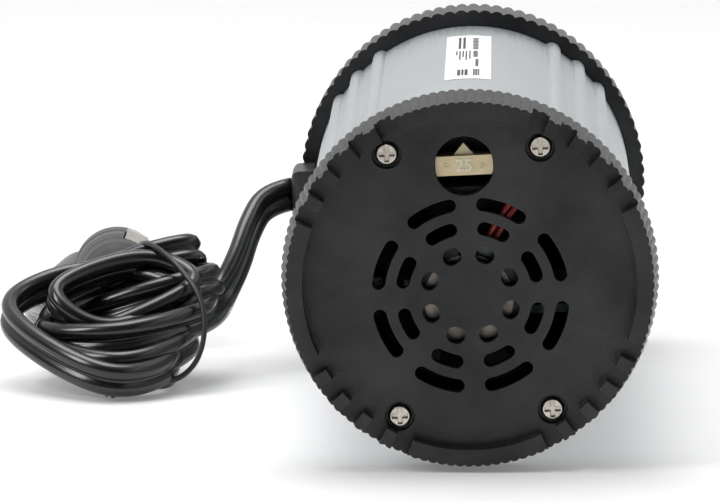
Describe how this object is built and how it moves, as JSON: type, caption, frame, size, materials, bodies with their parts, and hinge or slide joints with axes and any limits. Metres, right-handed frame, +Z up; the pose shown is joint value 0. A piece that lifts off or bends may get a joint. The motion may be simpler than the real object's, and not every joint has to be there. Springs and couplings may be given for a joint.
{
  "type": "car power inverter",
  "caption": "Can-shaped power inverter lying on its side, with a fan grille and blade fuse at one end, a mains outlet at the other, and a tied cord with a 12 V plug.",
  "frame": {"origin": "under the middle of the can, on the surface it lies on", "axes": "+Y along the can from the fan end to the outlet end, +Z up, +X to the right seen from the fan end"},
  "size_m": [0.1318, 0.2301, 0.0712],
  "materials": {
    "cap_black": "matt, fine spark texture",
    "body_silver": "satin anodised, fine extrusion lines",
    "screw_steel": "bright nickel plate",
    "label_white": "satin printed film",
    "fan_black": "satin",
    "bronze": "sintered",
    "copper": "enamelled",
    "board_green": "solder mask",
    "foil": "brushed foil",
    "magnet": "matt",
    "steel": "ground",
    "fuse_tan": "translucent tinted",
    "fuse_zinc": "zinc plate",
    "holder_dark": "moulded",
    "contact_brass": "bright",
    "wire_red": "pvc",
    "wire_dark": "pvc",
    "ferrite": "sintered",
    "tape_yellow": "polyester tape",
    "can_sleeve": "shrink sleeve",
    "chip_black": "moulded epoxy",
    "pad_grey": "silicone",
    "plate_alu": "mill",
    "film_box": "dipped",
    "socket_black": "moulded",
    "usb_white": "moulded",
    "led_green": "clear tinted",
    "cord_black": "glossy pvc",
    "plug_black": "satin moulded",
    "glass_clear": "clear"
  },
  "bodies": {
    "can": {"base_cap": "cap_black", "base_screws": "screw_steel", "body_tube": "body_silver", "cable_gland": "cord_black", "choke": "copper", "contact_carrier": "holder_dark", "cord_hank": "cord_black", "cord_lead": "cord_black", "cord_tail": "cord_black", "cord_tie": "cord_black", "earth_clips": "contact_brass", "fan_board": "board_green", "fan_bushing": "bronze", "fan_frame": "fan_black", "fan_label": "foil", "fan_stator": "copper", "fan_wires": "wire_red", "filter_capacitor": "film_box", "fuse_clips": "contact_brass", "fuse_holder": "holder_dark", "heat_plate": "plate_alu", "input_capacitors": "can_sleeve", "input_wires": "wire_red", "led_lens": "led_green", "main_board": "board_green", "mains_capacitor": "can_sleeve", "outlet_cap": "cap_black", "outlet_screws": "screw_steel", "output_wires": "wire_dark", "plug_body": "plug_black", "plug_boot": "cord_black", "plug_fuse": "glass_clear", "plug_nose_ring": "plug_black", "plug_screw": "screw_steel", "plug_tip_spring": "steel", "rating_label": "label_white", "shutter_spring": "steel", "socket_contacts": "contact_brass", "socket_cup": "socket_black", "switch_frame": "socket_black", "transformer_core": "ferrite", "transformer_winding": "tape_yellow", "transistor_clamp": "steel", "transistor_pad": "pad_grey", "transistors": "chip_black", "usb_board": "board_green", "usb_shell": "steel", "usb_tongue": "usb_white"},
    "fan_rotor": {"fan_impeller": "fan_black", "fan_magnet": "magnet", "fan_shaft": "steel"},
    "rocker": {"switch_rocker": "socket_black"},
    "shutter": {"socket_shutter": "socket_black"},
    "fuse": {"fuse_body": "fuse_tan", "fuse_blades": "fuse_zinc"},
    "plug_pin": {"plug_tip": "contact_brass"},
    "contact_a": {"plug_contact_left": "screw_steel"},
    "contact_b": {"plug_contact_right": "screw_steel"}
  },
  "joints": [
    {"name": "fan_spin", "type": "hinge", "parent": "can", "child": "fan_rotor", "pos_m": [0.00013, -0.0655, 0.03305], "axis": [0, 1, 0], "continuous": true},
    {"name": "switch_rock", "type": "hinge", "parent": "can", "child": "rocker", "pos_m": [0.02547, 0.0753, 0.03489], "axis": [0.9987, 0, 0.0506], "range_deg": [-8, 8]},
    {"name": "shutter_slide", "type": "slide", "parent": "can", "child": "shutter", "axis": [-0.9987, 0, -0.0506], "range_m": [0, 0.0052], "stiffness_N_per_m": 60, "springref_m": -0.002, "deforming": ["shutter_spring"]},
    {"name": "fuse_pull", "type": "slide", "parent": "can", "child": "fuse", "axis": [0, -1, 0], "range_m": [0, 0.02]},
    {"name": "plug_pin_press", "type": "slide", "parent": "can", "child": "plug_pin", "axis": [-0.0573, 0.9913, -0.1181], "range_m": [0, 0.003], "stiffness_N_per_m": 600, "springref_m": -0.001, "deforming": ["plug_tip_spring"]},
    {"name": "contact_a_press", "type": "slide", "parent": "can", "child": "contact_a", "axis": [0.4476, 0.1312, 0.8846], "range_m": [0, 0.0008], "stiffness_N_per_m": 1500, "springref_m": -0.0004},
    {"name": "contact_b_press", "type": "slide", "parent": "can", "child": "contact_b", "axis": [-0.4476, -0.1312, -0.8846], "range_m": [0, 0.0008], "stiffness_N_per_m": 1500, "springref_m": -0.0004}
  ]
}
